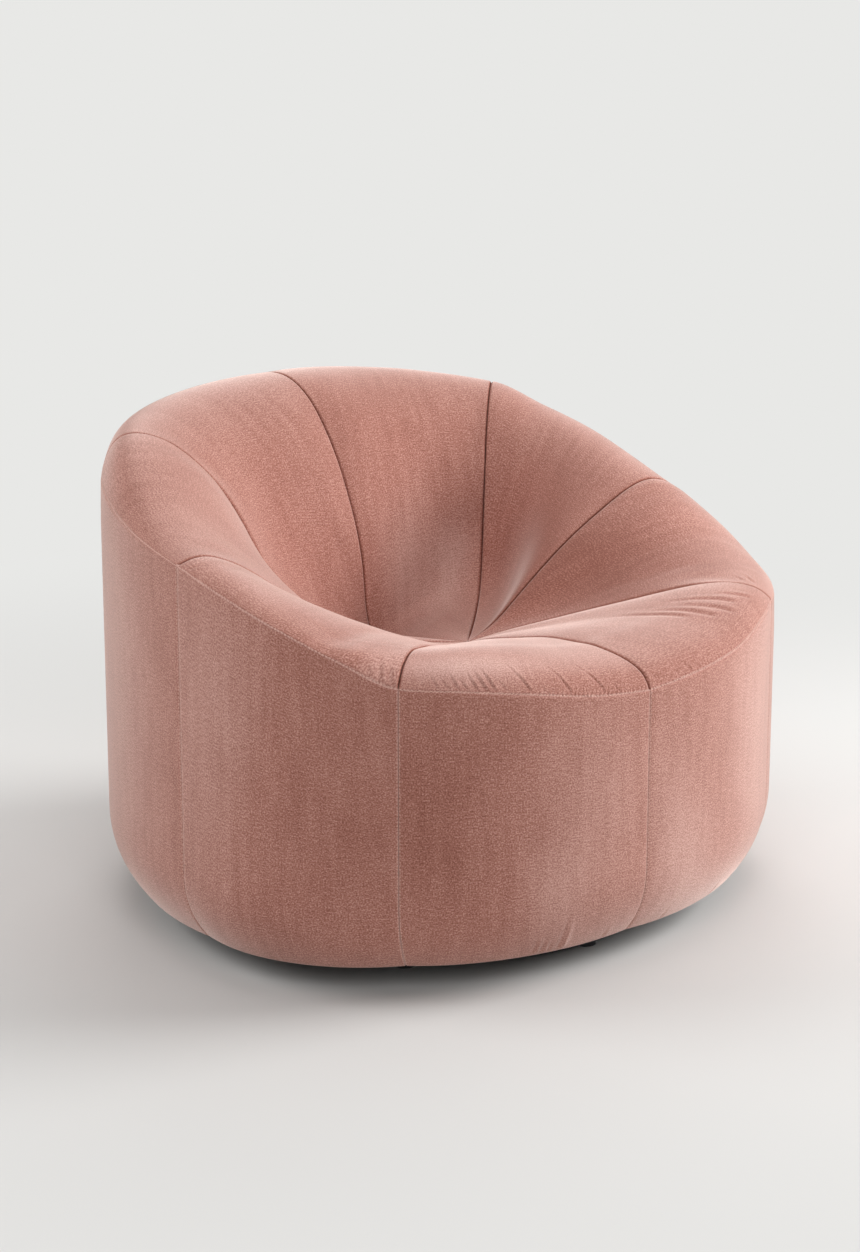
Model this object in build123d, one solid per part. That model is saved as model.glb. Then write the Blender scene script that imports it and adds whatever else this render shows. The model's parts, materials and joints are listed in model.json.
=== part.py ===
from build123d import *
from math import cos, hypot, radians, sin, sqrt
import os

# A round upholstered tub chair that turns on a low plinth, in millimetres.
# The floor is z = 0, the turning axis is the Z axis and the sitter faces -Y.
# Eight padded gores run from one pole on the seat, up the bowl and over the rim,
# and eight outer panels hang from the rim seam down to the hem.

# Plan of the drum: two half ellipses that share the widest line through the pole
half_width = 470.0
front_depth = 356.0
back_depth = 532.0
pole_y = (front_depth - back_depth) / 2
pole_radius = 3.0
pole_height = 366.0

# The five seams of one side, as angles round the plan from the front centre
front_angle = 0.0
corner_angle = 45.0
arm_angle = 92.0
shoulder_angle = 131.0
back_angle = 180.0

# Height of the padded crest and of the rim seam at each of those seams.
# The arm on the +X side is stuffed softer, so its roll falls further to a lower rim seam.
front_crest = 415.0
corner_crest = 446.0
arm_crest = 551.0
soft_arm_crest = 541.0
shoulder_crest = 648.0
back_crest = 677.0
front_rim = 379.0
corner_rim = 419.0
arm_rim = 545.0
soft_arm_rim = 465.0
shoulder_rim = 594.0
back_rim = 605.0

# Upholstery
gore_crown = 10.0
cover_thickness = 4.0
padding_thickness = 34.0
padding_foot = 4.0
roll_depth = 24.0
lining_thickness = 3.0
hem_height = 41.0
hem_inset = 36.0
hem_round = 100.0
dust_cover_thickness = 1.0
tie_diameter = 5.0

# Timber frame
rail_width = 28.0
rail_height = 32.0
upright_width = 46.0
board_thickness = 18.0
seat_ring_width = 34.0
seat_ring_height = 28.0
deck_height = 250.0

# Webbing
strap_width = 50.0
strap_thickness = 2.0
strap_count = 5
strap_pitch = 92.0

# Plinth
plinth_radius = 345.0
plinth_wall = 30.0
plinth_board = 12.0
plinth_top = 40.0
glide_height = 6.0
glide_diameter = 28.0
glide_count = 8
glide_screw_diameter = 4.0
glide_screw_margin = 2.0

# Swivel with one ring of balls
plate_radius = 165.0
plate_thickness = 6.0
plate_gap = 6.0
race_radius = 120.0
ball_diameter = 9.0
ball_count = 36
cage_width = 24.0
cage_thickness = 2.0
pin_radius = 10.0
pin_head_radius = 16.0
pin_head_height = 3.0
pin_room = 8.0
access_hole = 22.0
screw_circle = 150.0
screw_diameter = 6.0
screw_head_diameter = 11.0
screw_head_height = 2.6
screw_count = 6
bolt_circle = 80.0
bolt_diameter = 6.0
bolt_head_diameter = 11.0
bolt_head_height = 2.6
bolt_count = 4
nut_flange_diameter = 19.0
nut_flange_height = 1.5

# Clearances
fit_gap = 0.3
foam_gap = 0.8
seam_gap = 0.5
rail_gap = 2.0
wall_gap = 1.5
running_fit = 0.1
ring_gap = 2.0

# Levels and insets that follow
gore_names = (
    "front_right", "side_right", "shoulder_right", "back_right",
    "back_left", "shoulder_left", "side_left", "front_left",
)
half_angles = (front_angle, corner_angle, arm_angle, shoulder_angle, back_angle)
seam_angles = half_angles + tuple(360 - a for a in half_angles[3::-1])
board_underside = plinth_top + 2 * plate_thickness + plate_gap
board_top = board_underside + board_thickness
strap_top = deck_height + 2 * strap_thickness
padding_inset = cover_thickness + fit_gap
lining_inset = padding_inset + padding_thickness + fit_gap
frame_inset = lining_inset + lining_thickness + fit_gap
foam_inset = frame_inset + rail_width + wall_gap
upper_plate_underside = board_underside - plate_thickness
lower_plate_top = plinth_top + plate_thickness
ball_level = (lower_plate_top + upper_plate_underside) / 2
groove_radius = ball_diameter / 2 + fit_gap
ring_top = plinth_top - plinth_board
glide_screw_length = ring_top - glide_height - glide_screw_margin

# Seam shape at each station: distance from the pole as a share of the way to the rim,
# and rise as a share of the way from the pole up to the crest
front_shape = ((0.13, 0.29), (0.26, 0.52), (0.38, 0.73), (0.50, 0.89), (0.64, 0.98), (0.76, 1.0))
corner_shape = ((0.13, 0.18), (0.27, 0.36), (0.41, 0.55), (0.55, 0.73), (0.70, 0.91), (0.85, 1.0))
arm_shape = ((0.18, -0.04), (0.30, 0.04), (0.46, 0.29), (0.63, 0.59), (0.78, 0.86), (0.90, 1.0))
soft_arm_shape = ((0.10, 0.10), (0.20, 0.28), (0.32, 0.50), (0.44, 0.69), (0.58, 0.87), (0.77, 1.0))
shoulder_shape = ((0.28, 0.0), (0.46, 0.09), (0.555, 0.34), (0.637, 0.64), (0.76, 0.90), (0.885, 1.0))
back_shape = ((0.20, -0.08), (0.375, -0.11), (0.42, 0.19), (0.50, 0.57), (0.61, 0.86), (0.765, 1.0))

# Outer shoulder of the roll, between crest and rim seam, in the same shares
front_roll = (0.95, 0.60)
corner_roll = (0.96, 0.57)
arm_roll = (0.97, 0.78)
soft_arm_roll = (0.92, 0.55)
shoulder_roll = (0.97, 0.68)
back_roll = (0.93, 0.62)

# The stations in order round the chair, from the front centre towards +X
front = (front_crest, front_rim, front_shape, front_roll)
corner = (corner_crest, corner_rim, corner_shape, corner_roll)
arm = (arm_crest, arm_rim, arm_shape, arm_roll)
soft_arm = (soft_arm_crest, soft_arm_rim, soft_arm_shape, soft_arm_roll)
shoulder = (shoulder_crest, shoulder_rim, shoulder_shape, shoulder_roll)
back = (back_crest, back_rim, back_shape, back_roll)
stations = (front, corner, soft_arm, shoulder, back, shoulder, arm, corner)


def mean(a, b):
    return (a + b) / 2


def mean_pair(a, b):
    return (mean(a[0], b[0]), mean(a[1], b[1]))


def station_between(a, b):
    shape = tuple(mean_pair(p, q) for p, q in zip(a[2], b[2]))
    return (mean(a[0], b[0]), mean(a[1], b[1]), shape, mean_pair(a[3], b[3]))


def gore_sections(index):
    """The angle, the station and the crown of one gore's two seams and its middle."""
    start, end = seam_angles[index:index + 2]
    before = stations[index]
    after = stations[(index + 1) % len(stations)]
    middle = station_between(before, after)
    return ((start, before, 0.0), (mean(start, end), middle, gore_crown), (end, after, 0.0))


def rim_vector(angle):
    depth = front_depth if cos(radians(angle)) > 0 else back_depth
    return (half_width * sin(radians(angle)), -depth * cos(radians(angle)))


def reach(angle):
    return hypot(*rim_vector(angle))


def place(angle, distance, z):
    x, y = rim_vector(angle)
    share = distance / hypot(x, y)
    return Vector(x * share, pole_y + y * share, z)


def shifted(knots, amounts):
    """Knots of a profile moved square to it, to the sitter's side where the amount is positive."""
    moved = []
    last = len(knots) - 1
    for i, (r, z) in enumerate(knots):
        before = knots[max(i - 1, 0)]
        after = knots[min(i + 1, last)]
        dr, dz = after[0] - before[0], after[1] - before[1]
        length = hypot(dr, dz)
        moved.append((r - amounts[i] * dz / length, z + amounts[i] * dr / length))
    return moved


def seat_profile(angle, station, crown, depth):
    """Pole to rim knots of a gore, a given depth under its padded surface."""
    crest, rim, shape, roll = station
    far = reach(angle)
    knots = [(pole_radius, pole_height)]
    for share, rise in shape:
        knots.append((far * share, pole_height + rise * (crest - pole_height)))
    knots.append((far * roll[0], rim + roll[1] * (crest - rim)))
    knots.append((far, rim))
    swell = [0.0, 0.6 * crown] + [crown] * 3 + [0.8 * crown, 0.4 * crown, 0.4 * crown, 0.0]
    knots = shifted(knots, swell)
    knots = shifted(knots, [-depth] * len(knots))
    knots[0] = (pole_radius, pole_height - depth)
    knots[-1] = (far - depth, rim)
    return knots


def line_edge(angle, a, b):
    return Edge.make_line(place(angle, *a), place(angle, *b))


def arc_edge(angle, a, b, c):
    return Edge.make_three_point_arc(place(angle, *a), place(angle, *b), place(angle, *c))


def arcs_through(angle, knots):
    return [arc_edge(angle, *knots[i:i + 3]) for i in range(0, len(knots) - 2, 2)]


def lines_through(angle, corners):
    return [line_edge(angle, a, b) for a, b in zip(corners, corners[1:])]


def gore_loft(index, section):
    wires = [Wire(section(*s)) for s in gore_sections(index)]
    return Solid.make_loft(wires, ruled=False)


def foam_section(angle, station, crown):
    """Foam from the deck up, over the rail and out to the rim seam."""
    knots = seat_profile(angle, station, crown, cover_thickness + foam_gap)
    wall = reach(angle) - foam_inset
    ledge = station[1] - roll_depth
    base = strap_top + fit_gap
    corners = [
        knots[-1], (knots[-1][0], ledge), (wall, ledge),
        (wall, base), (pole_radius, base), knots[0],
    ]
    return arcs_through(angle, knots) + lines_through(angle, corners)


def cover_section(angle, station, crown):
    outside = seat_profile(angle, station, crown, 0.0)
    inside = seat_profile(angle, station, crown, cover_thickness)[::-1]
    out = arcs_through(angle, outside)
    back = arcs_through(angle, inside)
    rim = line_edge(angle, outside[-1], inside[0])
    pole = line_edge(angle, inside[-1], outside[0])
    return out + [rim] + back + [pole]


def hem_arc(far, depth, start_inset):
    """Knots of the rounded foot of the wall, a given depth under the cover's face."""
    radius = (hem_inset ** 2 + hem_round ** 2) / (2 * hem_inset)
    level = hem_height + hem_round
    inner = radius - depth
    centre = far - radius
    low = sqrt(inner ** 2 - (radius - start_inset) ** 2)

    def on(drop):
        return (centre + sqrt(inner ** 2 - drop ** 2), level - drop)

    return [on(low), on(low / 2), on(0.0)]


def outer_cover_section(angle, station, crown):
    far = reach(angle)
    top = station[1] - seam_gap
    outside = hem_arc(far, 0.0, hem_inset)
    inside = hem_arc(far, cover_thickness, hem_inset)[::-1]
    up = [outside[-1], (far, top), (far - cover_thickness, top), inside[0]]
    return (
        arcs_through(angle, outside) + lines_through(angle, up)
        + arcs_through(angle, inside) + [line_edge(angle, inside[-1], outside[0])]
    )


def padding_section(angle, station, crown):
    far = reach(angle)
    top = station[1] - roll_depth - seam_gap
    back = far - lining_inset + fit_gap
    outside = hem_arc(far, padding_inset, padding_inset + padding_thickness - padding_foot)
    up = [outside[-1], (far - padding_inset, top), (back, top), (back, outside[0][1]), outside[0]]
    return arcs_through(angle, outside) + lines_through(angle, up)


def wall_section(near, thick, low, drop):
    """Section maker for a straight layer of the wall, its top a drop below the rim seam."""

    def section(angle, station, crown):
        outer = reach(angle) - near
        inner = outer - thick
        top = station[1] - drop
        corners = [(inner, low), (outer, low), (outer, top), (inner, top), (inner, low)]
        return lines_through(angle, corners)

    return section


def rail_section(angle, station, crown):
    outer = reach(angle) - frame_inset
    inner = outer - rail_width
    top = station[1] - roll_depth - rail_gap
    low = top - rail_height
    corners = [(inner, low), (outer, low), (outer, top), (inner, top), (inner, low)]
    return lines_through(angle, corners)


def plan_face(inset, z):
    """Flat face with the drum's plan, drawn in by an inset."""
    arcs = []
    for index in range(8):
        angles = [s[0] for s in gore_sections(index)]
        points = [place(a, reach(a) - inset, z) for a in angles]
        arcs.append(Edge.make_three_point_arc(*points))
    return Face(Wire(arcs))


def plan_board(inset, low, high):
    return Solid.extrude(plan_face(inset, low), Vector(0, 0, high - low))


def disc(radius, low, high):
    return Pos(0, 0, low) * extrude(Circle(radius), high - low)


def around(count, radius, z, item):
    return [Pos(0, 0, z) * spot * item for spot in PolarLocations(radius, count)]


def save(name, shape):
    solids = shape if isinstance(shape, list) else [shape]
    if len(solids) == 1:
        export_step(solids[0], f"parts/{name}.step")
    else:
        export_step(Compound(children=solids), f"parts/{name}.step")


def build_upholstery():
    for index, name in enumerate(gore_names):
        save(f"foam_gore_{name}", gore_loft(index, foam_section))
        save(f"inner_cover_{name}", gore_loft(index, cover_section))
        save(f"outer_cover_{name}", gore_loft(index, outer_cover_section))
    save("outer_padding", [gore_loft(i, padding_section) for i in range(8)])
    lining = wall_section(lining_inset, lining_thickness, board_underside, roll_depth + rail_gap)
    save("wall_lining", [gore_loft(i, lining) for i in range(8)])
    tie_low = strap_top + fit_gap
    tie_high = pole_height - fit_gap
    tie = Pos(0, pole_y, tie_low) * extrude(Circle(tie_diameter / 2), tie_high - tie_low)
    save("pull_down_tie", tie)
    dust = plan_board(frame_inset, board_underside - dust_cover_thickness, board_underside)
    save("dust_cover", dust - disc(plate_radius + ring_gap, 0, board_underside))


def upright(index):
    """Post in the middle of a gore, cut to the slope of the rail above it."""
    angle = gore_sections(index)[1][0]
    post_drop = roll_depth + rail_gap + rail_height + fit_gap
    room = wall_section(frame_inset, rail_width, board_top, post_drop)
    x, y = rim_vector(angle)
    frame = Plane(origin=(0, pole_y, 0), x_dir=(x, y, 0), z_dir=(0, 0, 1))
    blank = frame * Pos(reach(angle) / 2, 0, 0) * Box(
        reach(angle), upright_width, 2 * back_crest
    )
    return gore_loft(index, room) & blank


def build_frame():
    board = plan_board(frame_inset + ring_gap, board_underside, board_top)
    board -= disc(pin_room + pin_head_radius, board_underside, board_top)
    for hole in around(bolt_count, bolt_circle, board_underside, bolt_hole()):
        board -= hole
    save("base_board", board)
    save("uprights", [upright(i) for i in range(8)])
    rail = gore_loft(0, rail_section)
    for index in range(1, 8):
        rail += gore_loft(index, rail_section)
    save("top_rail", rail)
    ring = plan_board(foam_inset, deck_height - seat_ring_height, deck_height)
    ring -= plan_board(foam_inset + seat_ring_width, deck_height - seat_ring_height, deck_height)
    save("seat_ring", ring)


def strap_row(low, along):
    """Parallel straps trimmed to the outside of the seat ring."""
    room = plan_board(foam_inset + ring_gap, low, low + strap_thickness)
    length = 2 * (half_width + back_depth)
    straps = []
    for i in range(strap_count):
        offset = (i - (strap_count - 1) / 2) * strap_pitch
        size = (strap_width, length) if along else (length, strap_width)
        centre = (offset, 0) if along else (0, offset)
        blank = Pos(*centre, low) * extrude(Rectangle(*size), strap_thickness)
        straps.append(blank & room)
    return straps


def build_webbing():
    save("webbing_lengthwise", strap_row(deck_height, True))
    save("webbing_crosswise", strap_row(deck_height + strap_thickness, False))


def bolt_hole():
    return extrude(Circle(bolt_diameter / 2 + fit_gap), board_thickness)


def race_groove():
    """Ring-shaped cutter that the balls run in."""
    section = Plane.XZ * Pos(race_radius, ball_level) * Circle(groove_radius)
    return revolve(section, Axis.Z)


def build_swivel():
    lower = disc(plate_radius, plinth_top, lower_plate_top)
    lower -= disc(pin_radius + running_fit, plinth_top, lower_plate_top)
    lower -= race_groove()
    screw_hole = extrude(Circle(screw_diameter / 2 + fit_gap), plate_thickness)
    for hole in around(screw_count, screw_circle, plinth_top, screw_hole):
        lower -= hole
    access = extrude(Circle(access_hole / 2), plate_thickness)
    lower -= Pos(bolt_circle, 0, plinth_top) * access
    save("swivel_lower_plate", lower)

    upper = disc(plate_radius, upper_plate_underside, board_underside)
    upper -= disc(pin_radius + running_fit, upper_plate_underside, board_underside)
    upper -= race_groove()
    for hole in around(bolt_count, bolt_circle, upper_plate_underside, bolt_hole()):
        upper -= hole
    save("swivel_upper_plate", upper)

    pin_low = plinth_top - pin_head_height
    pin_high = board_underside + fit_gap
    pin = disc(pin_radius, pin_low, pin_high)
    pin += disc(pin_head_radius, pin_low, plinth_top)
    pin += disc(pin_head_radius, pin_high, pin_high + pin_head_height)
    save("swivel_pin", pin)

    cage_low = ball_level - cage_thickness / 2
    cage = disc(race_radius + cage_width / 2, cage_low, cage_low + cage_thickness)
    cage -= disc(race_radius - cage_width / 2, cage_low, cage_low + cage_thickness)
    pocket = extrude(Circle(groove_radius), cage_thickness)
    for hole in around(ball_count, race_radius, cage_low, pocket):
        cage -= hole
    save("ball_cage", cage)
    save("bearing_balls", around(ball_count, race_radius, ball_level, Sphere(ball_diameter / 2)))

    screw = Pos(0, 0, -plinth_board) * extrude(Circle(screw_diameter / 2), plinth_board + plate_thickness)
    screw += Pos(0, 0, plate_thickness) * extrude(Circle(screw_head_diameter / 2), screw_head_height)
    save("plate_screws", around(screw_count, screw_circle, plinth_top, screw))

    nut_base = board_top - upper_plate_underside
    bolt = extrude(Circle(bolt_diameter / 2), nut_base + nut_flange_height)
    bolt += Pos(0, 0, -bolt_head_height) * extrude(Circle(bolt_head_diameter / 2), bolt_head_height)
    save("plate_bolts", around(bolt_count, bolt_circle, upper_plate_underside, bolt))
    nut_bore = Circle(bolt_diameter / 2 + running_fit)
    nut = extrude(Circle(nut_flange_diameter / 2) - nut_bore, nut_flange_height)
    save("bolt_nuts", around(bolt_count, bolt_circle, board_top, nut))


def build_plinth():
    ring = disc(plinth_radius, glide_height, ring_top)
    ring -= disc(plinth_radius - plinth_wall, glide_height, ring_top)
    glide_circle = plinth_radius - plinth_wall / 2
    screw_hole = extrude(Circle(glide_screw_diameter / 2 + running_fit), glide_screw_length)
    for hole in around(glide_count, glide_circle, glide_height, screw_hole):
        ring -= hole
    save("plinth_ring", ring)

    board = disc(plinth_radius, ring_top, plinth_top)
    board -= disc(pin_room + pin_head_radius, ring_top, plinth_top)
    anchor = extrude(Circle(screw_diameter / 2 + running_fit), plinth_board)
    for hole in around(screw_count, screw_circle, ring_top, anchor):
        board -= hole
    board -= Pos(bolt_circle, 0, ring_top) * extrude(Circle(access_hole / 2), plinth_board)
    save("plinth_board", board)

    bore = glide_screw_diameter / 2 + running_fit
    glide = extrude(Circle(glide_diameter / 2) - Circle(bore), glide_height)
    save("floor_glides", around(glide_count, glide_circle, 0, glide))
    pin_start = glide_height / 3
    screw = extrude(Circle(glide_screw_diameter / 2), glide_height - pin_start + glide_screw_length)
    save("glide_screws", around(glide_count, glide_circle, pin_start, screw))


os.makedirs("parts", exist_ok=True)
build_plinth()
build_swivel()
build_webbing()
build_frame()
build_upholstery()
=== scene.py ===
import bpy
import bmesh
import json
import math
import numpy as np
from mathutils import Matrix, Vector


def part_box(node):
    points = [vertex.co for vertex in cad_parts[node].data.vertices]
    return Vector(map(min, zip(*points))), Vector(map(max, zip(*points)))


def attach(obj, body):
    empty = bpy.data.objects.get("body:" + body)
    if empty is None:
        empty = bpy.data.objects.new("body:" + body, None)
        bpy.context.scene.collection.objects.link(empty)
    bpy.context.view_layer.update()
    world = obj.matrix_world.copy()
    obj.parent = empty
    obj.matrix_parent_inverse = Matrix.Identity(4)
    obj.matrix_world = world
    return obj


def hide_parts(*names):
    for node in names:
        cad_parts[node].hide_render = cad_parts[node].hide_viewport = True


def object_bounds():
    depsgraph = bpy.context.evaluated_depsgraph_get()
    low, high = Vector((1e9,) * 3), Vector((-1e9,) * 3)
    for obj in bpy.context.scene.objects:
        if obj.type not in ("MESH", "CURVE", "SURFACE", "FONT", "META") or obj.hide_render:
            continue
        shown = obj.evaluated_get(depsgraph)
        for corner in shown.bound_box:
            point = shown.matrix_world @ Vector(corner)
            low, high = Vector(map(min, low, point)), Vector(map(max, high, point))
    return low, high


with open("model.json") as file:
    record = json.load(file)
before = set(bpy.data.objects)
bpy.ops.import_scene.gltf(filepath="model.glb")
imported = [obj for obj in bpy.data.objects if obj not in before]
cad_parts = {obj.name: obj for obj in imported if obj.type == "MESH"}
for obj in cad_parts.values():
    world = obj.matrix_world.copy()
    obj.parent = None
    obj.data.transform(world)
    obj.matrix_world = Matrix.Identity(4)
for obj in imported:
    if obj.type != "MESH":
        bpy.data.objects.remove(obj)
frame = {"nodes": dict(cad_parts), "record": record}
cadLow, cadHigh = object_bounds()
nodes = frame["nodes"]
scene = bpy.context.scene
print("frame:", len(nodes), "CAD nodes")

# The drum, read from the frame (metres, the sitter faces -Y)
tieLow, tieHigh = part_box("pull_down_tie")
poleY = (tieLow.y + tieHigh.y) / 2
drum = {
    "halfWidth": cadHigh.x,
    "frontDepth": poleY - cadLow.y,
    "backDepth": cadHigh.y - poleY,
    "hemHeight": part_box("outer_cover_front_right")[0].z,
    "hemInset": 0.036,                     # how far the foot of the wall rolls in
    "hemRound": 0.100,                     # height over which it rolls in
    "hemPower": 2.4,
}

# One dictionary per kind of seam. roll: height of the crest over the rim seam.
# shape: share of the way out to the rim, share of the rise from pole to crest.
# edge: outer shoulder of the roll, share of the way out, share of the way from rim seam up to crest.
frontSeam = {
    "roll": 0.036, "edge": (0.95, 0.60),
    "shape": ((0.13, 0.29), (0.26, 0.52), (0.38, 0.73), (0.50, 0.89), (0.64, 0.98), (0.76, 1.0)),
}
cornerSeam = {
    "roll": 0.027, "edge": (0.96, 0.57),
    "shape": ((0.13, 0.20), (0.27, 0.38), (0.41, 0.56), (0.55, 0.73), (0.70, 0.91), (0.85, 1.0)),
}
leftCornerSeam = {
    "roll": 0.030, "edge": (0.96, 0.57),
    "shape": ((0.15, 0.10), (0.30, 0.32), (0.45, 0.55), (0.60, 0.76), (0.74, 0.92), (0.86, 1.0)),
}
softArmSeam = {                            # this arm is stuffed softer and rolls over further
    "roll": 0.077, "edge": (0.92, 0.50),
    "shape": ((0.10, 0.10), (0.20, 0.28), (0.32, 0.50), (0.44, 0.69), (0.58, 0.87), (0.77, 1.0)),
}
armSeam = {
    "roll": 0.006, "edge": (0.97, 0.78),
    "shape": ((0.18, -0.04), (0.30, 0.04), (0.46, 0.29), (0.63, 0.59), (0.78, 0.86), (0.90, 1.0)),
}
armFront = {                               # not a seam: the front of the firm arm, between two of them
    "roll": 0.005, "edge": (0.975, 0.80),
    "shape": ((0.15, 0.10), (0.285, 0.25), (0.435, 0.45), (0.60, 0.67), (0.775, 0.89), (0.925, 1.0)),
}
shoulderSeam = {
    "roll": 0.054, "edge": (0.97, 0.68),
    "shape": ((0.28, 0.0), (0.46, 0.09), (0.555, 0.34), (0.637, 0.64), (0.76, 0.90), (0.885, 1.0)),
}
backSeam = {
    "roll": 0.074, "edge": (0.93, 0.62),
    "shape": ((0.20, -0.08), (0.375, -0.11), (0.42, 0.19), (0.50, 0.57), (0.61, 0.86), (0.765, 1.0)),
}
# degrees round from the front centre, towards the sitter's left hand first
stations = (
    (0, frontSeam), (45, cornerSeam), (92, softArmSeam), (131, shoulderSeam), (180, backSeam),
    (229, shoulderSeam), (268, armSeam), (300, armFront), (315, leftCornerSeam),
)
seamAngles = (0, 45, 92, 131, 180, 229, 268, 315, 360)
goreNames = (
    "front_right", "side_right", "shoulder_right", "back_right",
    "back_left", "shoulder_left", "side_left", "front_left",
)
bowl = {
    "poleRadius": 0.0006,
    "poleHeight": tieHigh.z + 0.0006,
    # height of the rim seam, by angle from the front centre
    "rim": (
        (0, 0.379), (22, 0.392), (45, 0.419), (56, 0.419), (68, 0.422), (83, 0.444), (92, 0.464),
        (101, 0.490), (111, 0.523), (121, 0.554), (131, 0.587), (152, 0.602), (180, 0.605), (229, 0.596),
        (259, 0.561), (277, 0.531), (292, 0.493), (304, 0.456), (315, 0.420), (326, 0.413),
        (338, 0.401), (350, 0.386), (360, 0.379),
    ),
}


def splineWeights(knots, x):               # natural cubic spline, as weights on the knot values
    knots = np.asarray(knots, float)
    x = np.asarray(x, float)
    count = len(knots)
    gap = np.diff(knots)
    left = np.eye(count)
    right = np.zeros((count, count))
    for i in range(1, count - 1):
        left[i, i - 1:i + 2] = gap[i - 1], 2 * (gap[i - 1] + gap[i]), gap[i]
        right[i, i - 1:i + 2] = 6 / gap[i - 1], -6 / gap[i - 1] - 6 / gap[i], 6 / gap[i]
    bend = np.linalg.solve(left, right)
    i = np.clip(np.searchsorted(knots, x) - 1, 0, count - 2)
    step = gap[i]
    a = (knots[i + 1] - x) / step
    b = 1 - a
    ends = np.eye(count)
    curve = (a ** 3 - a)[..., None] * bend[i] + (b ** 3 - b)[..., None] * bend[i + 1]
    return a[..., None] * ends[i] + b[..., None] * ends[i + 1] + curve * (step ** 2 / 6)[..., None]


def smoothThrough(x, xs, ys):              # monotone cubic through given points
    xs = np.asarray(xs, float)
    ys = np.asarray(ys, float)
    gap = np.diff(xs)
    rise = np.diff(ys) / gap
    slope = np.concatenate(([rise[0]], np.zeros(len(xs) - 2), [rise[-1]]))
    both = rise[1:] * rise[:-1]
    slope[1:-1] = np.where(both > 0, 2 * both / np.where(both > 0, rise[1:] + rise[:-1], 1), 0)
    i = np.clip(np.searchsorted(xs, x) - 1, 0, len(xs) - 2)
    t = (x - xs[i]) / gap[i]
    enter = (1 + 2 * t) * (1 - t) ** 2 * ys[i] + t * (1 - t) ** 2 * gap[i] * slope[i]
    leave = t * t * (3 - 2 * t) * ys[i + 1] - t * t * (1 - t) * gap[i] * slope[i + 1]
    return enter + leave


def plan(angle):                           # rim point seen from above: two half ellipses
    a = np.radians(angle)
    depth = np.where(np.cos(a) > 0, drum["frontDepth"], drum["backDepth"])
    return drum["halfWidth"] * np.sin(a), -depth * np.cos(a)


def rimHeight(angle):
    return smoothThrough(np.asarray(angle, float) % 360, *zip(*bowl["rim"]))


def stationValues(angle, pick):            # a value set at each station, eased round the chair
    turns = [(a, pick(station)) for a, station in stations]
    turns = [(a - 360, v) for a, v in turns[-2:]] + turns + [(a + 360, v) for a, v in turns[:3]]
    return smoothThrough(np.asarray(angle, float) % 360, *zip(*turns))


def profileKnots(angle):                   # share of the way out and height, pole to rim
    reach = np.hypot(*plan(angle))
    rim = rimHeight(angle)
    roll = stationValues(angle, lambda station: station["roll"])
    rise = rim + roll - bowl["poleHeight"]
    shares = [bowl["poleRadius"] / reach]
    heights = [np.full_like(reach, bowl["poleHeight"])]
    for k in range(len(frontSeam["shape"])):
        shares.append(stationValues(angle, lambda station: station["shape"][k][0]))
        risen = stationValues(angle, lambda station: station["shape"][k][1])
        heights.append(bowl["poleHeight"] + risen * rise)
    shares += [stationValues(angle, lambda station: station["edge"][0]), np.ones_like(reach)]
    heights += [rim + stationValues(angle, lambda station: station["edge"][1]) * roll, rim]
    return np.stack(shares, -1), np.stack(heights, -1)


def knotSteps():                           # spacing of the knots along the profile, mean of the stations
    angles = np.array([a for a, station in stations], float)
    shares, heights = profileKnots(angles)
    reach = np.hypot(*plan(angles))
    run = np.hypot(np.diff(shares * reach[:, None]), np.diff(heights))
    run = (run / run.sum(1, keepdims=True)).mean(0)
    return np.concatenate(([0], np.cumsum(run)))


bowl["steps"] = knotSteps()


def bowlPoint(angle, s):                   # pole at s 0, over the crest, rim seam at s 1
    x, y = plan(angle)
    shares, heights = profileKnots(angle)
    along = splineWeights(bowl["steps"], s)
    share = (along * shares).sum(-1)
    height = (along * heights).sum(-1)
    return np.stack([x * share, poleY + y * share, height], -1)


hem = {
    "turn": 0.007,                         # radius of the turned-under edge
    "tucked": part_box("dust_cover")[0].z - 0.0004,  # just under the dust cloth
    "turnEnd": 2.75,                       # s where the edge has turned under and goes up
    "fold": 2.3,                           # s at the bottom of the turn
    "stitchEnd": 2.2,                      # s where the topstitching stops
}


def wallPoint(angle, s):                   # rim seam at s 0, foot from 1, turned under from 2, tucked in at 3
    x, y = plan(angle)
    reach = np.hypot(x, y)
    inset, tall, power = drum["hemInset"], drum["hemRound"], drum["hemPower"]
    sweep = math.atan(inset * power / tall)
    lowest = drum["hemHeight"] + hem["turn"] * (1 - math.sin(sweep))
    foot = lowest + tall
    straight = rimHeight(angle) + (foot - rimHeight(angle)) * np.minimum(s, 1)
    t = np.clip(s - 1, 0, 1)
    heading = sweep + np.clip((s - 2) / (hem["turnEnd"] - 2), 0, 1) * (math.pi - sweep)
    under = hem["turn"] * (math.cos(sweep) - np.cos(heading))
    down = hem["turn"] * (np.sin(heading) - math.sin(sweep))
    turned = lowest + hem["turn"] * math.sin(sweep)
    up = np.clip((s - hem["turnEnd"]) / (3 - hem["turnEnd"]), 0, 1) * (hem["tucked"] - turned)
    share = 1 - (inset * t ** power + under) / reach
    return np.stack([x * share, poleY + y * share, straight - tall * t - down + up], -1)


nudge = {"angle": 0.05, "s": 0.001, "edge": 0.002}  # steps for normals, and how far off the edges


def outward(point, angle, s):              # unit normal, towards the sitter or away from the wall
    across = point(angle + nudge["angle"], s) - point(angle - nudge["angle"], s)
    along = point(angle, s + nudge["s"]) - point(angle, s - nudge["s"])
    normal = np.cross(along, across)
    return normal / np.linalg.norm(normal, axis=-1, keepdims=True)


print("drum:", round(drum["frontDepth"], 3), "m to the front,", round(drum["backDepth"], 3), "m to the back")


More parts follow.
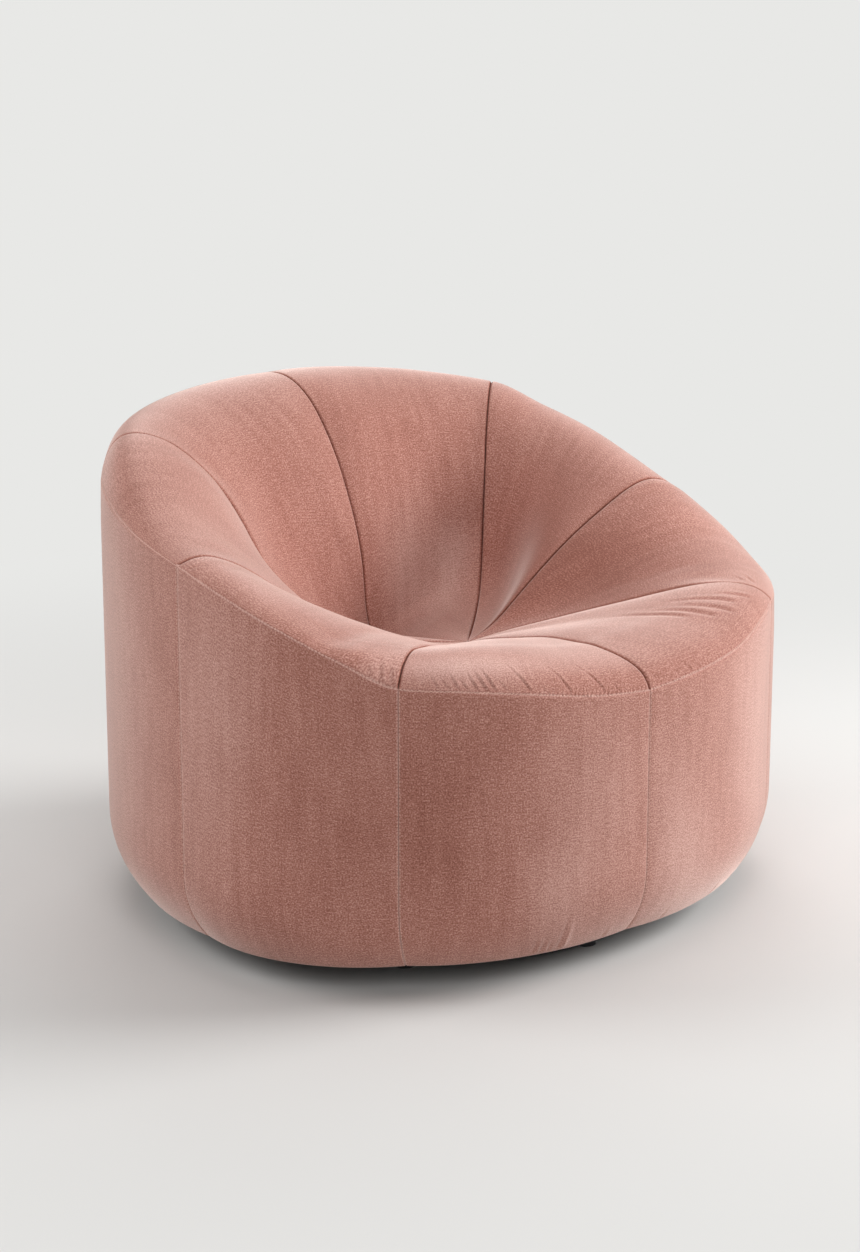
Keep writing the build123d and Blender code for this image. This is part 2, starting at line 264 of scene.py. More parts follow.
# Meshes
def meshPiece(name, verts, faces, uvs=None):
    mesh = bpy.data.meshes.new(name)
    mesh.from_pydata([tuple(v) for v in verts], [], faces)
    if uvs is not None:
        layer = mesh.uv_layers.new(name="cloth")
        corner = np.zeros(len(mesh.loops), np.int32)
        mesh.loops.foreach_get("vertex_index", corner)
        layer.data.foreach_set("uv", np.asarray(uvs, np.float32)[corner].ravel())
    mesh.polygons.foreach_set("use_smooth", np.ones(len(mesh.polygons), bool))
    mesh.validate()
    mesh.update()
    piece = bpy.data.objects.new(name, mesh)
    scene.collection.objects.link(piece)
    return piece


def faceOutwards(piece):
    edit = bmesh.new()
    edit.from_mesh(piece.data)
    bmesh.ops.recalc_face_normals(edit, faces=edit.faces)
    edit.to_mesh(piece.data)
    edit.free()


def quads(at):                             # faces between neighbours in a grid of vertex numbers
    return np.stack([at[:-1, :-1], at[1:, :-1], at[1:, 1:], at[:-1, 1:]], -1).reshape(-1, 4).tolist()


def gridFaces(rows, columns, first=0):
    return quads(first + np.arange(rows * columns).reshape(rows, columns))


def pickEvenly(count, wanted):             # evenly spaced indices out of a count, both ends included
    return np.unique(np.linspace(0, count - 1, wanted).round().astype(int))


def closedSkin(name, face, behind, picks, uvs, lip=0):
    # face: the fine outer grid; behind: the same grid under the cloth; picks: its rows and columns
    # that the coarser lining keeps; lip: how many columns at each side take the second material
    rows, columns = face.shape[:2]
    rowPick, columnPick = pickEvenly(rows, picks[0]), pickEvenly(columns, picks[1])
    lining = behind[np.ix_(rowPick, columnPick)]
    start = rows * columns
    fine = np.arange(start).reshape(rows, columns)
    coarse = start + np.arange(len(rowPick) * len(columnPick)).reshape(len(rowPick), len(columnPick))
    faces = gridFaces(rows, columns)
    faces += [q[::-1] for q in gridFaces(len(rowPick), len(columnPick), start)]
    for pick, edge, back in (
        (columnPick, fine[0], coarse[0]), (columnPick, fine[-1], coarse[-1]),
        (rowPick, fine[:, 0], coarse[:, 0]), (rowPick, fine[:, -1], coarse[:, -1]),
    ):
        for i in range(len(pick) - 1):
            side = edge[pick[i]:pick[i + 1] + 1].tolist()
            faces.append(side + [int(back[i + 1]), int(back[i])])
    verts = np.concatenate([face.reshape(-1, 3), lining.reshape(-1, 3)])
    backUvs = uvs[np.ix_(rowPick, columnPick)].reshape(-1, 2)
    piece = meshPiece(name, verts, faces, np.concatenate([uvs.reshape(-1, 2), backUvs]))
    faceOutwards(piece)
    second = np.zeros(len(faces), np.int32)
    outside = second[:(rows - 1) * (columns - 1)].reshape(rows - 1, columns - 1)
    outside[:, :lip] = outside[:, columns - 1 - lip:] = 1
    piece.data.polygons.foreach_set("material_index", second)
    return piece


def ringSolid(name, loops, closed):        # loops: closed sections in a row, capped or joined end to end
    sections, points = loops.shape[:2]
    at = np.arange(sections * points).reshape(sections, points)
    if closed:
        at = np.concatenate([at, at[:1]])
    at = np.concatenate([at, at[:, :1]], 1)
    faces = quads(at)
    if not closed:
        faces += [at[0, :-1].tolist(), at[-1, :-1].tolist()]
    piece = meshPiece(name, loops.reshape(-1, 3), faces)
    faceOutwards(piece)
    return piece


velvetCut = {
    "thickness": 0.004,
    "seamGap": 0.00015,                    # each cover stops this far short of the seam line
    "fullWidth": 0.05,                     # where a cover is narrower its gap and lips shrink with it
    "lip": 0.0045,                         # the cloth rolls into the seam over this width
    "lipSteps": (0.0, 0.06, 0.18, 0.36, 0.58, 0.80, 1.0),
    "lipDepth": 0.0042,                    # deep between the gores, shallow where the seam is topstitched
    "rimDepth": 0.0022,
    "wallDepth": 0.0015,
    "hidden": 3,                           # steps of the lip that lie down in the seam
    "rimStitch": 2,                        # the steps of the lip that the topstitching follows
    "wallStitch": 3,
}
lipReach = np.array(velvetCut["lipSteps"]) * velvetCut["lip"]
sampling = {"across": 41, "along": 600}    # points for measuring lengths on a surface


def lipDrop(fromSeam, depth):              # quarter round into a seam
    q = np.clip(1 - fromSeam / velvetCut["lip"], 0, 1)
    return velvetCut[depth] * (1 - np.sqrt(np.clip(1 - q * q, 0, 1)))


def spread(count, length):                 # distances across a cover, close together in the seam lips
    lips = lipReach[None, :] * np.minimum(1, length / velvetCut["fullWidth"])[:, None]
    first = lips[:, -1:]
    last = length[:, None] - first
    middle = first + (last - first) * np.linspace(0, 1, count)[None, 1:-1]
    return np.concatenate([lips, middle, length[:, None] - lips[:, ::-1]], 1)


def acrossLength(point, start, end, s):    # width of a cover at each row
    angles = np.linspace(start, end, sampling["across"])
    path = point(angles[None, :] + 0 * s[:, None], s[:, None] + 0 * angles[None, :])
    return np.linalg.norm(np.diff(path, axis=1), axis=-1).sum(1)


def alongLength(point, angle, s):          # distance along the profile to each row
    path = point(np.full_like(s, angle), s)
    return np.concatenate(([0], np.cumsum(np.linalg.norm(np.diff(path, axis=0), axis=-1))))


# Creases by cover: share of the width and distance from the sewn edge at one end, then at the other,
# width and depth. Gathers lean from the rim seam towards the arm, pull lines run along the gore,
# hem puckers stand on the hem.
creases = {
    "gore_front_left": (
        (0.10, 0.003, 0.07, 0.018, 0.0014, 0.0007), (0.15, 0.003, 0.11, 0.026, 0.0015, 0.0010),
        (0.19, 0.003, 0.15, 0.020, 0.0014, 0.0010), (0.225, 0.003, 0.18, 0.030, 0.0015, 0.0012),
        (0.26, 0.003, 0.22, 0.022, 0.0014, 0.0010), (0.295, 0.003, 0.245, 0.033, 0.0016, 0.0014),
        (0.33, 0.003, 0.275, 0.036, 0.0016, 0.0015), (0.365, 0.003, 0.30, 0.040, 0.0016, 0.0015),
        (0.41, 0.003, 0.37, 0.020, 0.0014, 0.0008), (0.50, 0.003, 0.40, 0.056, 0.0016, 0.0014),
        (0.56, 0.003, 0.53, 0.018, 0.0014, 0.0007), (0.66, 0.003, 0.58, 0.052, 0.0016, 0.0012),
        (0.80, 0.004, 0.72, 0.055, 0.0016, 0.0012), (0.86, 0.003, 0.84, 0.016, 0.0014, 0.0007),
    ),
    "gore_side_left": (
        (0.97, 0.003, 0.95, 0.020, 0.0022, 0.0009), (0.93, 0.003, 0.91, 0.024, 0.0024, 0.0010),
        (0.89, 0.003, 0.87, 0.016, 0.0022, 0.0007), (0.05, 0.003, 0.07, 0.020, 0.0024, 0.0008),
    ),
    "gore_front_right": (
        (0.16, 0.003, 0.13, 0.018, 0.0022, 0.0007), (0.22, 0.003, 0.19, 0.024, 0.0024, 0.0009),
        (0.27, 0.003, 0.24, 0.018, 0.0022, 0.0008), (0.62, 0.050, 0.60, 0.150, 0.0050, 0.0012),
        (0.70, 0.036, 0.67, 0.120, 0.0045, 0.0012), (0.78, 0.045, 0.73, 0.140, 0.0045, 0.0012),
        (0.55, 0.080, 0.54, 0.190, 0.0055, 0.0010), (0.86, 0.030, 0.82, 0.090, 0.0040, 0.0010),
    ),
    "gore_side_right": (
        (0.05, 0.055, 0.13, 0.078, 0.0030, 0.0016), (0.04, 0.075, 0.10, 0.095, 0.0028, 0.0010),
    ),
    "gore_shoulder_left": (
        (0.06, 0.003, 0.09, 0.030, 0.0026, 0.0010), (0.12, 0.003, 0.15, 0.022, 0.0024, 0.0009),
    ),
    "panel_front_left": (
        (0.535, 0.008, 0.54, 0.052, 0.0026, 0.0020), (0.57, 0.008, 0.575, 0.040, 0.0024, 0.0022),
        (0.60, 0.008, 0.608, 0.034, 0.0022, 0.0016), (0.65, 0.008, 0.658, 0.078, 0.0028, 0.0030),
        (0.30, 0.008, 0.302, 0.030, 0.0024, 0.0008), (0.86, 0.008, 0.862, 0.036, 0.0024, 0.0009),
    ),
    "panel_side_left": (
        (0.90, 0.008, 0.902, 0.030, 0.0024, 0.0009), (0.45, 0.008, 0.452, 0.026, 0.0024, 0.0008),
    ),
    "panel_front_right": (
        (0.18, 0.008, 0.182, 0.034, 0.0024, 0.0009), (0.52, 0.008, 0.523, 0.040, 0.0026, 0.0010),
    ),
}
creaseForm = {
    "fadeIn": 8.0,                         # how fast a crease deepens from its sewn end
    "fadeOut": 1.6,                        # and runs out at the other
    "ridge": 0.7,                          # height of the ridge beside it, share of the depth
    "ridgeOff": 1.7,                       # place and width of that ridge, in widths of the crease
    "ridgeWide": 1.3,
}


def creaseLift(name, share, fromEdge, width):
    lift = np.zeros_like(share)
    for share0, near, share1, far, wide, deep in creases.get(name, ()):
        t = (fromEdge - near) / (far - near)
        off = (share - share0 - (share1 - share0) * np.clip(t, 0, 1)) * width
        fade = np.clip(t * creaseForm["fadeIn"], 0, 1) * np.clip((1 - t) * creaseForm["fadeOut"], 0, 1)
        valley = np.exp(-(off / wide) ** 2)
        ridge = np.exp(-((off - creaseForm["ridgeOff"] * wide) / (creaseForm["ridgeWide"] * wide)) ** 2)
        lift += deep * fade * (creaseForm["ridge"] * ridge - valley)
    return lift


pucker = {
    "pitch": 0.0065,
    "reach": 0.009,
    "height": 0.00055,
    "seed": 11,
    "wander": (2.2, 0.031),                # how far the puckers drift off their pitch, over what length
    "swell": (0.55, 0.45, 0.055),          # mean strength, how far it swings, over what length
}


def stitchPull(alongSeam, fromSeam, key):  # fine uneven puckers where the thread pulls the cloth in
    rng = np.random.default_rng(pucker["seed"] + key)
    phase, slow = rng.uniform(0, 6.3, 2)
    drift, driftLength = pucker["wander"]
    mean, swing, swingLength = pucker["swell"]
    turns = alongSeam / pucker["pitch"] * 6.283 + phase
    wave = np.sin(turns + drift * np.sin(alongSeam / driftLength + slow))
    strength = mean + swing * np.sin(alongSeam / swingLength + 2 * slow)
    return pucker["height"] * wave * strength * np.exp(-(fromSeam / pucker["reach"]) ** 2)


# Patches where the pile lies pressed or brushed, drawn in the base colour as painted sheen (above 0) and
# painted shade (below 0, as in the bowl shaded by the right arm): share of the width, distance from the rim
# seam, spread across and along, and strength
paintedSheenAndShade = {
    "gore_front_left": (
        (0.60, 0.13, 0.14, 0.08, -0.35), (0.20, 0.04, 0.09, 0.03, 0.7), (0.50, 0.05, 0.12, 0.03, 0.15),
    ),
    "gore_front_right": ((0.30, 0.14, 0.09, 0.08, -0.4), (0.70, 0.07, 0.06, 0.05, 0.1)),
    "gore_side_left": (
        (0.78, 0.05, 0.07, 0.06, -0.4), (0.35, 0.05, 0.06, 0.04, 0.2), (0.92, 0.02, 0.04, 0.03, 0.5),
    ),
    # painted shade: the bowl under the right arm and the ridge near the pole
    "gore_side_right": ((0.50, 0.30, 0.16, 0.14, -1.1),),
    "gore_shoulder_right": ((0.35, 0.32, 0.08, 0.14, -0.9), (0.30, 0.45, 0.05, 0.10, -1.4)),
    "gore_back_right": (
        (0.20, 0.47, 0.03, 0.06, 0.6), (0.30, 0.54, 0.04, 0.04, 0.3), (0.55, 0.46, 0.05, 0.08, 0.5),
        (0.60, 0.20, 0.08, 0.08, -0.5),
    ),
    "gore_back_left": ((0.30, 0.10, 0.12, 0.07, 0.3),),
    "panel_front_left": (
        (0.62, 0.28, 0.05, 0.09, 0.32), (0.74, 0.14, 0.06, 0.12, 0.20), (0.88, 0.22, 0.04, 0.18, 0.10),
        (0.14, 0.14, 0.06, 0.12, -0.5),
    ),
    "panel_front_right": (
        (0.10, 0.22, 0.05, 0.14, 0.3), (0.25, 0.28, 0.05, 0.09, 0.4), (0.70, 0.14, 0.07, 0.16, 0.35),
    ),
    "panel_side_left": ((0.60, 0.26, 0.12, 0.14, -0.2), (0.25, 0.15, 0.08, 0.20, 0.3)),
    "panel_shoulder_left": ((0.50, 0.20, 0.10, 0.20, 0.35),),
}
seamHighlightAndShade = {
    "reach": 0.0014,
    "open": 0.55,                          # paler where the cloth turns into a topstitched seam: the pile parts, and a painted highlight on the raised lips
    "closed": -1.6,                        # darker in the crevice between two gores: painted shade where it is hidden from the light
}


# writes the pile attribute: painted highlight at topstitched seams, painted shade in closed seams, painted
# sheen and shade patches
def paintPileLight(piece, share, fromRim, width, fromOpen, fromClosed):
    amount = seamHighlightAndShade["open"] * np.exp(-(fromOpen / seamHighlightAndShade["reach"]) ** 2)
    amount = amount + seamHighlightAndShade["closed"] * np.exp(-(fromClosed / seamHighlightAndShade["reach"]) ** 2)
    for middle, far, wide, tall, strength in paintedSheenAndShade.get(piece.name, ()):
        away = ((share - middle) * width / wide) ** 2 + ((fromRim - far) / tall) ** 2
        amount = amount + strength * np.exp(-away)
    values = np.zeros(len(piece.data.vertices), np.float32)
    values[:amount.size] = amount.ravel()  # the lining behind stays plain
    layer = piece.data.attributes.new("pile", "FLOAT", "POINT")
    layer.data.foreach_set("value", values)


# Each gore is sewn down at its edges and pressed out by the foam under it
cloth = {
    "rows": 46,
    "columns": 30,
    "frames": 20,
    "pressure": 4.0,
    "slack": 0.001,                        # share by which the cloth may grow
    "limit": 0.005,                        # no point moves further than this
    "tip": 0.11,                           # held still where the gore is narrower than this
    "iron": 2,                             # times that the result is smoothed
}


def pressedOut(surface, normal, width):    # how far each point of a gore moves, by cloth simulation
    rows, columns = surface.shape[:2]
    rowAt = pickEvenly(rows, cloth["rows"])
    columnAt = pickEvenly(columns, cloth["columns"])
    grid = surface[np.ix_(rowAt, columnAt)]
    faces = gridFaces(*grid.shape[:2])
    sides = grid.reshape(-1, 3)[faces[len(faces) // 2]]
    if np.cross(sides[1] - sides[0], sides[2] - sides[1]) @ normal[rows // 2, columns // 2] < 0:
        faces = [q[::-1] for q in faces]
    piece = meshPiece("cover_cloth", grid.reshape(-1, 3), faces)
    sewn = np.zeros(grid.shape[:2], bool)
    sewn[[0, -1]] = sewn[:, [0, -1]] = True
    sewn[width[rowAt, 0] < cloth["tip"]] = True
    piece.vertex_groups.new(name="sewn").add(np.flatnonzero(sewn).tolist(), 1.0, "ADD")
    settings = piece.modifiers.new("cloth", "CLOTH").settings
    settings.vertex_group_mass = "sewn"
    settings.use_pressure = True
    settings.uniform_pressure_force = cloth["pressure"]
    settings.shrink_min = -cloth["slack"]
    settings.effector_weights.gravity = 0
    for step in range(1, cloth["frames"] + 1):
        scene.frame_set(step)
    settled = piece.evaluated_get(bpy.context.evaluated_depsgraph_get()).data
    after = np.zeros(grid.size, np.float32)
    settled.vertices.foreach_get("co", after)
    move = after.reshape(grid.shape) - grid
    far = np.linalg.norm(move, axis=-1, keepdims=True)
    move *= np.tanh(far / cloth["limit"]) * cloth["limit"] / np.maximum(far, 1e-9)
    for axis in (0, 1) * cloth["iron"]:    # smooths the fine wrinkles, which a taut cover doesn't show
        move = (np.roll(move, 1, axis) + 2 * move + np.roll(move, -1, axis)) / 4
    move[sewn] = 0
    mesh = piece.data
    bpy.data.objects.remove(piece)
    bpy.data.meshes.remove(mesh)
    scene.frame_set(1)
    across = splineWeights(columnAt, np.arange(columns))
    along = splineWeights(rowAt, np.arange(rows))
    full = np.clip(width / cloth["tip"] - 1, 0, 1)[..., None]  # none where the gore narrows to the pole
    return np.einsum("ri,cj,ijk->rck", along, across, move) * full


gores = {
    "columns": 132,
    "fineColumns": {"front_left": 250, "front_right": 190},  # these two show gathers at the rim seam
    "flatter": {"front_left": 0.05, "front_right": 0.45, "shoulder_right": 0.25},  # padding worn flatter
    "rows": 150,
    "crown": 0.0075,                       # height of the padding between two seams, in the bowl
    "crestCrown": 0.0025,                  # and on the crest of the roll
    "crownShare": 0.060,                   # never more than this share of the width
    "crownPower": 2.5,                     # how flat the padding is in the middle
    "rimEase": 0.045,                      # the padding eases down towards the rim seam
    "rimKeep": 0.25,
    "crest": (0.55, 0.25),                 # share of the way out where the crest begins, and its width
    "lining": (40, 24),                    # rows and columns
    "fill": 0.8,
}
stitchLines = {"rim": [], "wall": []}      # lines on the covers that the topstitching follows


def goreRows(angle):                       # s of each row, evenly spaced and close together at the rim seam
    fine = np.linspace(0, 1, sampling["along"])
    run = alongLength(bowlPoint, angle, fine)
    even = np.linspace(0, run[-1] - velvetCut["lip"], gores["rows"])
    wanted = np.concatenate([even[:-1], (run[-1] - lipReach)[::-1]])
    return np.interp(wanted, run, fine)


def crownAt(base, angle):                  # full in the bowl, low on the crest
    share = np.hypot(base[..., 0], base[..., 1] - poleY) / np.hypot(*plan(angle))
    begins, over = gores["crest"]
    t = np.clip((share - begins) / over, 0, 1)
    return gores["crown"] + (gores["crestCrown"] - gores["crown"]) * t * t * (3 - 2 * t)


def makeGore(index):
    name = "gore_" + goreNames[index]
    start, end = seamAngles[index], seamAngles[index + 1]
    middle = (start + end) / 2
    s = goreRows(middle)
    width = acrossLength(bowlPoint, start, end, s)[:, None]
    across = spread(gores["fineColumns"].get(goreNames[index], gores["columns"]), width[:, 0])
    narrow = np.minimum(1, width / velvetCut["fullWidth"])
    gap = velvetCut["seamGap"] * narrow
    share = (gap + across * (1 - 2 * gap / width)) / width
    angle = start + (end - start) * share
    rowS = np.repeat(s[:, None], angle.shape[1], 1)
    base = bowlPoint(angle, rowS)
    normal = outward(bowlPoint, angle, np.clip(rowS, nudge["edge"], 1 - nudge["edge"]))
    fromSeam = np.minimum(across, width - across)
    run = alongLength(bowlPoint, middle, s)
    toRim = np.repeat((run[-1] - run)[:, None], angle.shape[1], 1)
    bulge = 1 - np.abs(1 - 2 * across / width) ** gores["crownPower"]
    ease = 1 - (1 - gores["rimKeep"]) * np.clip(1 - toRim / gores["rimEase"], 0, 1) ** 2
    flat = gores["flatter"].get(goreNames[index], 1.0)
    lift = flat * np.minimum(crownAt(base, angle), gores["crownShare"] * width) * bulge * ease
    pressed = flat * pressedOut(base + normal * lift[..., None], normal, width) * ease[..., None]
    drop = np.maximum(lipDrop(fromSeam, "lipDepth") * narrow, lipDrop(toRim, "rimDepth"))
    folds = creaseLift(name, share, toRim, width) + stitchPull(across, toRim, index)
    face = base + pressed + normal * (lift - drop + folds)[..., None]
    behind = base + normal * (lift - velvetCut["thickness"] - velvetCut["lipDepth"] / 2)[..., None]
    uvs = np.stack([across - width / 2 + index, np.repeat(run[:, None], angle.shape[1], 1)], -1)
    piece = closedSkin(name, face, behind, gores["lining"], uvs, velvetCut["hidden"])
    paintPileLight(piece, share, toRim, width, toRim, fromSeam)
    stitchLines["rim"].append(face[-1 - velvetCut["rimStitch"]])
    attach(piece, "chair")
    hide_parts("inner_cover_" + goreNames[index])
    return piece


gorePieces = [makeGore(i) for i in range(len(goreNames))]
print("gores:", sum(len(p.data.polygons) for p in gorePieces), "faces")

panels = {
    "columns": 110,
    "straightRows": 90,
    "footRows": 34,
    "underRows": 14,
    "crown": 0.004,                        # stretched over a firm wall
    "crownPower": 2.4,
    "topEase": 0.05,                       # the padding swells from the rim seam down over this height
    "lining": (48, 20),
    "key": 20,                             # keeps their puckers apart from those of the gores
    "fill": 0.7,
}


def panelRows(angle):
    height = float(rimHeight(angle)) - drum["hemHeight"] - drum["hemRound"]
    even = np.linspace(velvetCut["lip"], height, panels["straightRows"])[1:]
    foot = np.linspace(1, 2, panels["footRows"])[1:]
    under = np.linspace(2, 3, panels["underRows"])[1:]
    return np.concatenate([lipReach / height, even / height, foot, under])


def makePanel(index):
    name = "panel_" + goreNames[index]
    start, end = seamAngles[index], seamAngles[index + 1]
    middle = (start + end) / 2
    s = panelRows(middle)
    width = acrossLength(wallPoint, start, end, s)[:, None]
    across = spread(panels["columns"], width[:, 0])
    gap = velvetCut["seamGap"]
    share = (gap + across * (1 - 2 * gap / width)) / width
    angle = start + (end - start) * share
    rowS = np.repeat(s[:, None], angle.shape[1], 1)
    base = wallPoint(angle, rowS)
    normal = outward(wallPoint, angle, np.clip(rowS, nudge["edge"], 3 - nudge["edge"]))
    fromSeam = np.minimum(across, width - across)
    run = alongLength(wallPoint, middle, s)
    fromRim = np.repeat(run[:, None], angle.shape[1], 1)
    toHem = np.abs(np.interp(hem["fold"], s, run) - fromRim)
    bulge = 1 - np.abs(1 - 2 * across / width) ** panels["crownPower"]
    ease = np.clip(fromRim / panels["topEase"], 0, 1) ** 0.5 * np.clip(3 - rowS, 0, 1)
    lift = panels["crown"] * bulge * ease
    drop = np.maximum(lipDrop(fromSeam, "wallDepth"), lipDrop(fromRim, "rimDepth"))
    upFromHem = np.where(rowS < hem["fold"], toHem, 0)
    folds = creaseLift(name, share, upFromHem, width) + stitchPull(across, fromRim, panels["key"] + index)
    face = base + normal * (lift - drop + folds)[..., None]
    behind = base + normal * (lift - velvetCut["thickness"] - velvetCut["lipDepth"] / 2)[..., None]
    uvs = np.stack([across - width / 2 - index, -fromRim], -1)
    piece = closedSkin(name, face, behind, panels["lining"], uvs)
    fromEdge = np.minimum(np.minimum(fromSeam, fromRim), toHem)
    paintPileLight(piece, share, fromRim, width, fromEdge, np.inf)
    step = velvetCut["wallStitch"]
    outside = s < hem["stitchEnd"]
    stitchLines["rim"].append(face[velvetCut["rimStitch"]])
    stitchLines["wall"] += [face[outside, step], face[outside, -1 - step]]
    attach(piece, "chair")
    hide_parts("outer_cover_" + goreNames[index])
    return piece


panelPieces = [makePanel(i) for i in range(len(goreNames))]
print("panels:", sum(len(p.data.polygons) for p in panelPieces), "faces")

# Foam, padding and dust cloth, which the velvet hides except from below
stuffing = {
    "under": 0.0078,                       # depth of the foam under the line of the cover
    "ledge": 0.024,                        # the foam hooks over the top rail this far
    "wallInset": 0.0714,
    "base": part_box("foam_gore_front_right")[0].z,
    "rows": 36,
    "columns": 18,
    "seamAngle": 0.15,                     # degrees that a foam gore stops short of its seam
    "poleDepth": 0.05,                     # share of the depth kept at the pole
    "poleEase": 8.0,                       # full depth from an eighth of the way out
    "padFront": 0.0078,
    "padBack": 0.0383,
    "padTop": 0.0245,                      # below the rim seam
    "padSections": 144,
    "padFoot": (0.4, 0.6, 0.75, 0.86),     # steps down the rounded foot
}


def alongReach(angle, inset, height):      # point on the way from the pole to the rim, an inset short of it
    x, y = plan(angle)
    share = 1 - inset / np.hypot(x, y)
    return np.stack([x * share, poleY + y * share, height + 0 * x], -1)


def makeFoam(index):
    start, end = seamAngles[index], seamAngles[index + 1]
    angle = np.linspace(start + stuffing["seamAngle"], end - stuffing["seamAngle"], stuffing["columns"])
    s = np.linspace(0, 1, stuffing["rows"])
    grid, rowS = np.meshgrid(angle, s, indexing="ij")
    base = bowlPoint(grid, rowS)
    normal = outward(bowlPoint, grid, np.clip(rowS, nudge["edge"], 1 - nudge["edge"]))
    depth = stuffing["under"] * np.clip(rowS * stuffing["poleEase"], stuffing["poleDepth"], 1)
    top = base - normal * depth[..., None]
    edge, wall, ledge = stuffing["under"], stuffing["wallInset"], rimHeight(angle) - stuffing["ledge"]
    top[:, -1] = alongReach(angle, edge, rimHeight(angle))
    reach = np.hypot(*plan(angle))
    corners = [
        alongReach(angle, edge, ledge), alongReach(angle, wall, ledge),
        alongReach(angle, wall, stuffing["base"]),
        alongReach(angle, reach - bowl["poleRadius"], stuffing["base"]),
    ]
    loops = np.concatenate([top, np.stack(corners, 1)], 1)
    piece = ringSolid("foam_" + goreNames[index], loops, closed=False)
    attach(piece, "chair")
    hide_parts("foam_gore_" + goreNames[index])
    return piece


def makePadding():
    angle = np.linspace(0, 360, stuffing["padSections"] + 1)[:-1]
    front, back = stuffing["padFront"], stuffing["padBack"]
    foot = drum["hemHeight"] + drum["hemRound"]
    top = rimHeight(angle) - stuffing["padTop"]
    sections = [alongReach(angle, back, top), alongReach(angle, front, top), alongReach(angle, front, foot)]
    for t in stuffing["padFoot"]:
        inset = front + drum["hemInset"] * t ** drum["hemPower"]
        sections.append(alongReach(angle, inset, foot - drum["hemRound"] * t))
    sections.append(alongReach(angle, back, foot - drum["hemRound"] * stuffing["padFoot"][-1]))
    piece = ringSolid("wall_padding", np.stack(sections, 1), closed=True)
    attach(piece, "chair")
    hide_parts("outer_padding")
    return piece


dust = {"hole": 0.167, "inset": 0.042, "sag": 0.0018, "lift": 0.0004, "rows": 14, "columns": 96}


def makeDustCloth():                       # stapled to the base board all round and sagging a little between
    low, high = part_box("dust_cover")
    angle = np.linspace(0, 360, dust["columns"] + 1)[:-1]
    turn = np.radians(angle)
    outer = alongReach(angle, dust["inset"], np.zeros_like(angle))
    inner = np.stack([dust["hole"] * np.sin(turn), -dust["hole"] * np.cos(turn), 0 * turn], -1)
    t = np.linspace(0, 1, dust["rows"])[:, None, None]
    grid = inner + (outer - inner) * t
    grid[..., 2] = low.z - dust["sag"] * (4 * t * (1 - t))[..., 0] + dust["lift"]
    at = np.arange(grid.shape[0] * grid.shape[1]).reshape(grid.shape[:2])
    at = np.concatenate([at, at[:, :1]], 1)
    faces = np.stack([at[:-1, :-1], at[:-1, 1:], at[1:, 1:], at[1:, :-1]], -1).reshape(-1, 4).tolist()
    piece = meshPiece("dust_cloth", grid.reshape(-1, 3), faces)
    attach(piece, "chair")
    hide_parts("dust_cover")
    return piece


foamPieces = [makeFoam(i) for i in range(len(goreNames))] + [makePadding()]
dustCloth = makeDustCloth()
print("stuffing:", len(foamPieces), "pieces and the dust cloth")


# Materials
def linear(code):                          # sRGB hex to the linear colour that the shader takes
    parts = [int(code[i:i + 2], 16) / 255 for i in (1, 3, 5)]
    return tuple(c / 12.92 if c <= 0.04045 else ((c + 0.055) / 1.055) ** 2.4 for c in parts) + (1.0,)


def addNode(tree, kind, inputs=None, **settings):
    node = tree.nodes.new(kind)
    for name, value in settings.items():
        setattr(node, name, value)
    for socket, source in (inputs or {}).items():
        if isinstance(source, bpy.types.NodeSocket):
            tree.links.new(source, node.inputs[socket])
        else:
            node.inputs[socket].default_value = source
    return node


def mathNode(tree, operation, *values, **settings):
    inputs = dict(enumerate(values))
    return addNode(tree, "ShaderNodeMath", inputs, operation=operation, **settings).outputs[0]


def newMaterial(name):
    material = bpy.data.materials.new(name)
    material.use_nodes = True
    tree = material.node_tree
    return material, tree, tree.nodes["Principled BSDF"]


velvetLook = {
    "deep": "#885548",
    "mid": "#aa7467",
    "pale": "#cb9c8f",
    # pale colour mixed in where the pile attribute is above 0: a painted sheen
    "pressed": "#d8b8b0",
    # texture: size across and along the cloth in metres, coarser than the real threads, and weight
    "slub": (0.016, 0.0022, 0.36),
    "lay": (0.014, 0.150, 0.20),
    "grain": (0.0021, 0.0021, 1.25),
    "mottle": (0.09, 0.09, 0.15),
    "lean": 0.16,                          # how far the pile attribute moves the tone: painted shade where the pile leans away, painted sheen where it leans towards the eye
    "stops": (0.28, 0.50, 0.72),           # where the deep, mid and pale tones stand
    "pileHeight": 0.0006,
    "bump": 0.45,
    "roughness": 0.92,
    "specular": 0.12,
    "sheen": 0.85,
    "sheenRoughness": 0.42,
    "sheenTint": "#f8e6df",
}


